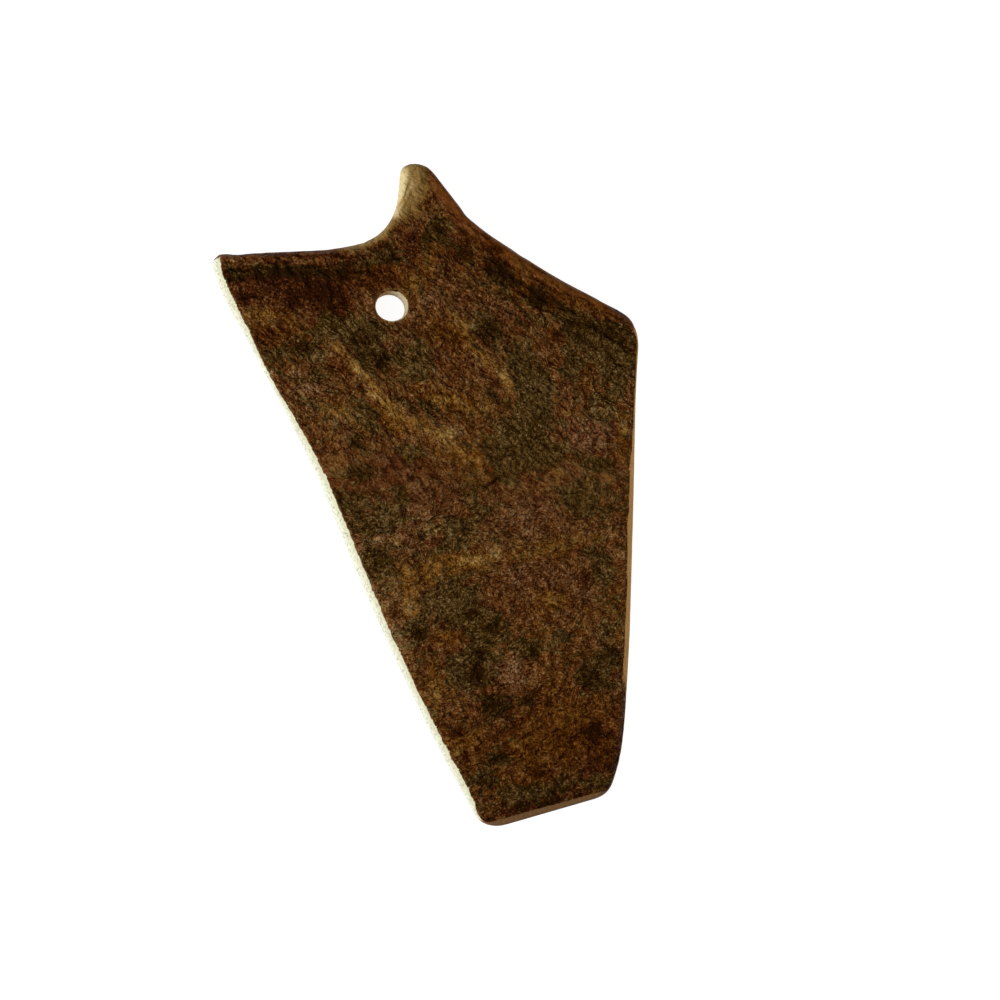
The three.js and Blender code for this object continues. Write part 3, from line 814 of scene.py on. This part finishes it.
def weighted_sum(tree, signals, base, **weights):
    """Base plus each named signal times its weight."""
    total = base
    for name, weight in weights.items():
        total = calc(tree, "ADD", total, calc(tree, "MULTIPLY", signals[name], weight))
    return total


def opaque(linear_colour):
    return (*linear_colour, 1.0)


def new_group(name, inputs, outputs):
    """An empty node group with these sockets, and its inner ends."""
    group = bpy.data.node_groups.new(name, "ShaderNodeTree")
    for label, kind in inputs.items():
        group.interface.new_socket(label, in_out="INPUT", socket_type="NodeSocket" + kind)
    for label, kind in outputs.items():
        group.interface.new_socket(label, in_out="OUTPUT", socket_type="NodeSocket" + kind)
    return group, group.nodes.new("NodeGroupInput").outputs, group.nodes.new("NodeGroupOutput").inputs


def use_group(tree, group, inputs):
    node = tree.nodes.new("ShaderNodeGroup")
    node.node_tree = group
    for label, value in inputs.items():
        feed(tree, node.inputs[label], value)
    return node.outputs


def fibre_group():
    """Fibrous grain that runs at an angle, from about -1 to 1."""
    labels = ("Angle", "Width", "Length", "Detail")
    sockets = {"Vector": "Vector", **{label: "Float" for label in labels}}
    tree, given, made = new_group("fibre grain", sockets, {"Grain": "Float"})
    turn = {"Vector": given["Vector"], "Angle": given["Angle"]}
    rotated = put(tree, "VectorRotate", turn, rotation_type="Z_AXIS").outputs[0]
    sizes = put(tree, "CombineXYZ", {"X": given["Length"], "Y": given["Width"], "Z": given["Width"]})
    places = put(tree, "VectorMath", {0: rotated, 1: sizes.outputs[0]}, operation="DIVIDE").outputs[0]
    inputs = {"Vector": places, "Scale": 1.0, "Detail": given["Detail"]}
    cloud = put(tree, "TexNoise", {**inputs, "Roughness": 0.6, "Distortion": 0.2}).outputs["Fac"]
    feed(tree, made["Grain"], centred(tree, cloud, 4.0))
    return tree


def ragged_group():
    """A mask whose soft edge is broken up by noise."""
    sockets = {"Mask": "Float", "Vector": "Vector", "Size": "Float", "Ragged": "Float"}
    tree, given, made = new_group("ragged mask", sockets, {"Mask": "Float"})
    scale = calc(tree, "DIVIDE", 1.0, given["Size"])
    inputs = {"Vector": given["Vector"], "Scale": scale, "Detail": 5.0}
    cloud = put(tree, "TexNoise", {**inputs, "Roughness": 0.62, "Distortion": 0.6}).outputs["Fac"]
    shift = centred(tree, cloud, given["Ragged"])
    feed(tree, made["Mask"], remap(tree, calc(tree, "ADD", given["Mask"], shift), 0.36, 0.64))
    return tree


def fibres(tree, fibre, place, angle, width, reach, detail=3.0):
    inputs = {"Vector": place, "Angle": angle, "Width": width, "Length": reach, "Detail": detail}
    return use_group(tree, fibre, inputs)["Grain"]


def ragged_mask(tree, ragged, mask, place, size, amount):
    inputs = {"Mask": mask, "Vector": place, "Size": size, "Ragged": amount}
    return use_group(tree, ragged, inputs)["Mask"]


def tone_ramp(tree, lightness, stops, tones):
    """Colours of growing lightness, as a lookup from 0 to 1."""
    node = put(tree, "ValToRGB", {"Fac": lightness})
    elements = node.color_ramp.elements
    while len(elements) < len(stops):
        elements.new(0.5)
    for element, stop, tone in zip(elements, stops, tones):
        element.position = stop
        element.color = opaque(tone)
    return node.outputs["Color"]


def swirled(tree, place):
    """Places that are moved about slowly, so that no grain runs straight for long."""
    cloud = put(tree, "TexNoise", {"Vector": place, "Scale": SWIRL_SCALE, "Detail": 1.0}).outputs["Color"]
    swirl = put(tree, "VectorMath", {0: cloud, 1: (-0.5, -0.5, -0.5)}, operation="ADD").outputs[0]
    swirl = put(tree, "VectorMath", {0: swirl, "Scale": SWIRL_REACH}, operation="SCALE").outputs[0]
    return put(tree, "VectorMath", {0: place, 1: swirl}, operation="ADD").outputs[0]


def bark_grains(tree, fibre, place):
    """Noise of the bark from fine to broad, and the specks, partly painted glints, cracks and pits that
    it makes.
    """
    rise = remap(tree, put(tree, "SeparateXYZ", {0: place}).outputs["Y"], *SLANT_TURNS)

    def straight(angle, width, reach, detail=3.0):
        return fibres(tree, fibre, place, angle, width, reach, detail)

    def turning(width, reach, detail=3.0):
        """Fibres that slant one way across the upper plate and the other way across the lower."""
        lower, upper = (straight(slant, width, reach, detail) for slant in (LOWER_SLANT, UPPER_SLANT))
        return blend_values(tree, rise, lower, upper)

    bark = {
        "grain": turning(0.55, 0.66, 1.2),
        "fine": turning(0.28, 0.30, 0.5),
        "clump": straight(0.4, 1.6, 2.4),
        "blotch": turning(1.9, 3.4),
        "broad": straight(0.0, 6.0, 8.0),
        "warmth": straight(0.5, 2.6, 4.2),
        "lump": turning(1.5, 2.4, 1.0),
    }
    steepened = calc(tree, "MULTIPLY", calc(tree, "ABSOLUTE", bark["fine"]), 1.4)
    line = remap(tree, calc(tree, "ABSOLUTE", straight(0.3, 1.4, 3.0, 1.0)), CRACK_HALF_WIDTH, 0.0)
    # Specks: fine noise sharpened at both ends, the bright ones partly painted glints
    bark["speck"] = calc(tree, "MULTIPLY", bark["fine"], calc(tree, "ADD", 0.5, steepened))
    bark["crack"] = calc(tree, "MULTIPLY", line, remap(tree, bark["clump"], 0.4, -0.2))
    bark["pit"] = remap(tree, weighted_sum(tree, bark, bark["grain"], fine=0.5), -0.45, -1.1)
    return bark


def bark_stains(tree, bark):
    """How olive, how golden and how bare the bark is."""
    stain = weighted_sum(
        tree, bark, 0.40, Olive=0.6, ridge=-0.4, blotch=0.36, grain=0.06, Rubbed=-0.8, Worn=-0.8)
    warmth = weighted_sum(tree, bark, 0.30, Warm=0.55, ridge=0.5, warmth=0.25, grain=-0.16, fine=-0.12)
    # Wear here also carries the painted highlight on the point's left rim
    wear = weighted_sum(tree, bark, bark["Worn"], clump=0.08, grain=0.06)
    return {
        "olive": remap(tree, stain, 0.42, 0.60),
        "gold": remap(tree, warmth, 0.0, 0.7),
        "bare": remap(tree, wear, 0.12, 0.42),
    }


def bark_lightness(tree, bark):
    """How light the bark is, from its patches, ridges and grooves and then from its grain."""
    contrast = weighted_sum(tree, bark, 1.1, olive=0.05, gold=-0.35, Shade=0.2)
    texture = weighted_sum(tree, bark, 0.0, grain=0.215, speck=0.165, pit=-0.05, clump=0.17, crack=-0.05)
    texture = calc(tree, "MULTIPLY", texture, contrast)
    patches = weighted_sum(
        tree, bark, 0.403, ridge=0.135, Vein=0.105, Shade=0.38, broad=0.06, olive=-0.04, Groove=-0.24)
    return calc(tree, "ADD", patches, calc(tree, "MULTIPLY", texture, bark["calm"]))


def bark_colour(tree, bark, colours):
    """Reddish, golden and olive bark, below the rust of the rubbed edges and the pale worn point, whose
    left rim carries a painted highlight.
    """
    lightness = bark_lightness(tree, bark)

    def bark_tones(family):
        tones = [getattr(colours, f"{family}_{step}") for step in BARK_STEPS]
        return tone_ramp(tree, lightness, BARK_STOPS, tones)

    tone = blend(tree, bark["gold"], bark_tones("red"), bark_tones("gold"))
    tone = blend(tree, bark["olive"], tone, bark_tones("olive"))
    rubbing = weighted_sum(tree, bark, 0.5, grain=0.3, clump=0.25, Groove=-0.5)
    rust = calc(tree, "MULTIPLY", bark["Rubbed"], rubbing)
    tone = blend(tree, rust, tone, opaque(colours.rubbed_rust))
    wear = weighted_sum(tree, bark, bark["Worn"], grain=0.08, clump=0.06, crack=-0.2, Groove=-0.4)
    worn_tones = (colours.worn_brown, colours.worn_gold, colours.worn_tan, colours.worn_and_lit_cream)
    return blend(tree, bark["bare"], tone, tone_ramp(tree, wear, WORN_STOPS, worn_tones))


def bark_group(colours, fibre, ragged):
    """Mottled bark: patches of three browns, pale ridges, dark grooves, fine grain and a worn point."""
    sockets = {"Vector": "Vector", **{label: "Float" for label in BARK_MASKS}}
    tree, given, made = new_group("bark", sockets, SURFACE_SOCKETS)
    place = swirled(tree, given["Vector"])
    bark = {label: given[label] for label in BARK_MASKS}
    bark.update(bark_grains(tree, fibre, place))
    bark["ridge"] = ragged_mask(tree, ragged, given["Vein"], place, 1.4, 1.9)
    bark.update(bark_stains(tree, bark))
    smoothed = calc(tree, "MAXIMUM", given["Worn"], given["Rubbed"])
    bark["calm"] = remap(tree, smoothed, 0.0, 0.8, 1.0, 0.3)
    height = weighted_sum(tree, bark, 0.0, grain=0.30, fine=0.12, clump=1.0, lump=1.3, crack=-0.15)
    feed(tree, made["Color"], bark_colour(tree, bark, colours))
    feed(tree, made["Roughness"], remap(tree, bark["grain"], -1.0, 1.0, 0.75, 0.5))
    feed(tree, made["Height"], calc(tree, "MULTIPLY", height, bark["calm"]))
    return tree


def bone_grains(tree, fibre, place):
    """Height in the plate, grain, slow clouds, porous core, pores and saw marks of the sawn bone."""
    level = put(tree, "SeparateXYZ", {0: place}).outputs["Z"]
    away = calc(tree, "ABSOLUTE", calc(tree, "SUBTRACT", level, FACE_HEIGHT / 2))
    core = remap(tree, away, 2.2, 1.0)
    cells = put(tree, "TexVoronoi", {"Vector": place, "Scale": 1.5, "Randomness": 1.0})
    waves = {"Vector": place, "Scale": 0.9, "Distortion": 2.5, "Detail": 2.0}
    return {
        "level": level,
        "grain": fibres(tree, fibre, place, 0.0, 0.5, 0.6),
        "cloud": fibres(tree, fibre, place, 1.5, 2.2, 8.0),
        "core": core,
        "pore": calc(tree, "MULTIPLY", remap(tree, cells.outputs["Distance"], 0.34, 0.18), core),
        "saw": put(tree, "TexWave", waves, bands_direction="Z").outputs["Fac"],
    }


def bone_colour(tree, given, bone, colours):
    """Cream bone, painted paler near the back as if lit by the white table's glow, tan or brown where
    stained, and browner next to the bark.
    """
    # Painted light: paler towards the back of the plate, where the white table's glow would fall
    depth = remap(tree, bone["level"], 5.4, 2.0)
    tone = blend(tree, depth, opaque(colours.cream_bone), opaque(colours.glow_lit_bone))
    tone = blend(tree, remap(tree, given["Stain"], 0.0, 0.8), tone, opaque(colours.tan_bone))
    tone = blend(tree, remap(tree, given["Stain"], 0.8, 1.0), tone, opaque(colours.end_bone))
    soaked = weighted_sum(tree, bone, 0.16, cloud=0.22, core=0.12)
    browning = {
        **bone,
        "edge": remap(tree, given["Sawn"], 1.0, 0.3),
        "stained": calc(tree, "MULTIPLY", soaked, given["Stain"]),
    }
    brown = weighted_sum(tree, browning, 0.05, grain=0.12, pore=0.18, edge=0.7, stained=1.0)
    return blend(tree, brown, tone, opaque(colours.red_light))


def bone_group(colours, fibre):
    """Sawn bone: cream and dense outside, tan where stained, with a porous core and fine saw marks."""
    sockets = {"Vector": "Vector", "Stain": "Float", "Sawn": "Float"}
    tree, given, made = new_group("sawn bone", sockets, SURFACE_SOCKETS)
    bone = bone_grains(tree, fibre, given["Vector"])
    feed(tree, made["Color"], bone_colour(tree, given, bone, colours))
    feed(tree, made["Roughness"], remap(tree, bone["grain"], -1.0, 1.0, 0.5, 0.62))
    feed(tree, made["Height"], weighted_sum(tree, bone, 0.0, grain=0.2, saw=0.25, pore=-1.0))
    return tree


def attribute(tree, name):
    return put(tree, "Attribute", attribute_name=name, attribute_type="GEOMETRY").outputs["Fac"]


def antler_material(colours):
    """Bark, and bare bone where the plate was sawn."""
    fibre, ragged = fibre_group(), ragged_group()
    material = bpy.data.materials.new("antler")
    material.use_nodes = True
    tree = material.node_tree
    shader = tree.nodes["Principled BSDF"]
    object_place = put(tree, "TexCoord").outputs["Object"]
    place = put(tree, "Mapping", {"Vector": object_place, "Scale": (1 / MM, 1 / MM, 1 / MM)}).outputs[0]
    masks = {label: attribute(tree, label.lower()) for label in (*BARK_MASKS, "Stain", "Sawn")}
    bark_inputs = {"Vector": place, **{label: masks[label] for label in BARK_MASKS}}
    bone_inputs = {"Vector": place, "Stain": masks["Stain"], "Sawn": masks["Sawn"]}
    bark = use_group(tree, bark_group(colours, fibre, ragged), bark_inputs)
    bone = use_group(tree, bone_group(colours, fibre), bone_inputs)
    sawn = ragged_mask(tree, ragged, masks["Sawn"], place, 0.6, 1.3)
    height = blend_values(tree, sawn, bark["Height"], bone["Height"])
    bump = put(tree, "Bump", {"Strength": 1.0, "Distance": BUMP_DEPTH * MM, "Height": height})
    feed(tree, shader.inputs["Base Color"], blend(tree, sawn, bark["Color"], bone["Color"]))
    roughness = blend_values(tree, sawn, bark["Roughness"], bone["Roughness"])
    feed(tree, shader.inputs["Roughness"], roughness)
    feed(tree, shader.inputs["Normal"], bump.outputs[0])
    shader.inputs["Specular IOR Level"].default_value = SHEEN
    shader.inputs["Specular Tint"].default_value = SHEEN_TINT
    return material


def make_plate(scene):
    mesh = plate_mesh(scene.antler_relief)
    raise_bark(mesh, scene.antler_relief)
    mesh.materials.append(antler_material(scene.antler_colours))
    plate = bpy.data.objects.new(PLATE + "_dressed", mesh)
    scene.collection.objects.link(plate)
    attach(plate, "root")
    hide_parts(PLATE)


def make_camera(scene, studio):
    data = bpy.data.cameras.new("camera")
    data.lens = studio.lens
    data.clip_start, data.clip_end = 0.01, 50.0
    camera = bpy.data.objects.new("camera", data)
    back = CAMERA_LEAN.normalized()
    right = Vector((0, 1, 0)).cross(back).normalized()
    camera.matrix_world = Matrix((right, back.cross(right), back)).transposed().to_4x4()
    camera.location = CAMERA_TARGET + back * studio.camera_distance
    scene.collection.objects.link(camera)
    scene.camera = camera


def make_light(scene, name, direction, power, studio):
    """A soft square light that faces the plate."""
    data = bpy.data.lights.new(name, "AREA")
    data.energy = power
    data.size = studio.light_size
    light = bpy.data.objects.new(name, data)
    away = direction.normalized()
    light.location = CAMERA_TARGET + away * studio.light_distance
    light.rotation_mode = "QUATERNION"
    light.rotation_quaternion = away.to_track_quat("Z", "Y")
    scene.collection.objects.link(light)


def make_sky(scene, studio):
    world = bpy.data.worlds.new("sky")
    world.use_nodes = True
    background = world.node_tree.nodes["Background"]
    background.inputs["Color"].default_value = WHITE
    background.inputs["Strength"].default_value = studio.sky
    scene.world = world


def floor_material(glow):
    material = bpy.data.materials.new("white_table")
    material.use_nodes = True
    shader = material.node_tree.nodes["Principled BSDF"]
    shader.inputs["Base Color"].default_value = TABLE_GREY
    shader.inputs["Roughness"].default_value = 0.9
    shader.inputs["Specular IOR Level"].default_value = 0.0
    shader.inputs["Emission Color"].default_value = WHITE
    shader.inputs["Emission Strength"].default_value = glow
    return material


def make_floor(scene, studio):
    bm = bmesh.new()
    bmesh.ops.create_grid(bm, x_segments=1, y_segments=1, size=FLOOR_SIZE / 2)
    mesh = bpy.data.meshes.new("floor")
    bm.to_mesh(mesh)
    bm.free()
    mesh.materials.append(floor_material(studio.floor_glow))
    floor = bpy.data.objects.new("floor", mesh)
    scene.collection.objects.link(floor)


def make_stage(scene):
    studio = scene.antler_studio
    scene.view_settings.view_transform = "Standard"
    make_camera(scene, studio)
    make_light(scene, "key_light", KEY_FROM, studio.key_power, studio)
    make_light(scene, "fill_light", FILL_FROM, studio.fill_power, studio)
    make_sky(scene, studio)
    make_floor(scene, studio)


class ANTLER_OT_dress_plate(bpy.types.Operator):
    """Make the antler plate's finished mesh and material over its solid"""

    bl_idname = "antler.dress_plate"
    bl_label = "Dress antler plate"

    def execute(self, context):
        make_plate(context.scene)
        return {"FINISHED"}


class ANTLER_OT_set_stage(bpy.types.Operator):
    """Set up the camera, the soft light and the pale floor"""

    bl_idname = "antler.set_stage"
    bl_label = "Set stage"

    def execute(self, context):
        make_stage(context.scene)
        return {"FINISHED"}


class ANTLER_PT_sidebar(bpy.types.Panel):
    """Sizes, colours and the steps that use them"""

    bl_label = "Antler plate"
    bl_idname = "ANTLER_PT_sidebar"
    bl_space_type = "VIEW_3D"
    bl_region_type = "UI"
    bl_category = "Antler"

    def draw(self, context):
        layout = self.layout
        for name in SETTINGS:
            group = getattr(context.scene, name)
            for label in group.__annotations__:
                layout.prop(group, label)
        layout.operator(ANTLER_OT_dress_plate.bl_idname)
        layout.operator(ANTLER_OT_set_stage.bl_idname)


SETTINGS = {"antler_relief": AntlerRelief, "antler_colours": AntlerColours, "antler_studio": AntlerStudio}
CLASSES = (*SETTINGS.values(), ANTLER_OT_dress_plate, ANTLER_OT_set_stage, ANTLER_PT_sidebar)


def register():
    for cls in CLASSES:
        bpy.utils.register_class(cls)
    for name, group in SETTINGS.items():
        setattr(bpy.types.Scene, name, PointerProperty(type=group))


def unregister():
    for name in SETTINGS:
        delattr(bpy.types.Scene, name)
    for cls in reversed(CLASSES):
        bpy.utils.unregister_class(cls)


def main():
    register()
    bpy.ops.antler.dress_plate()
    bpy.ops.antler.set_stage()


if __name__ == "__main__":
    main()
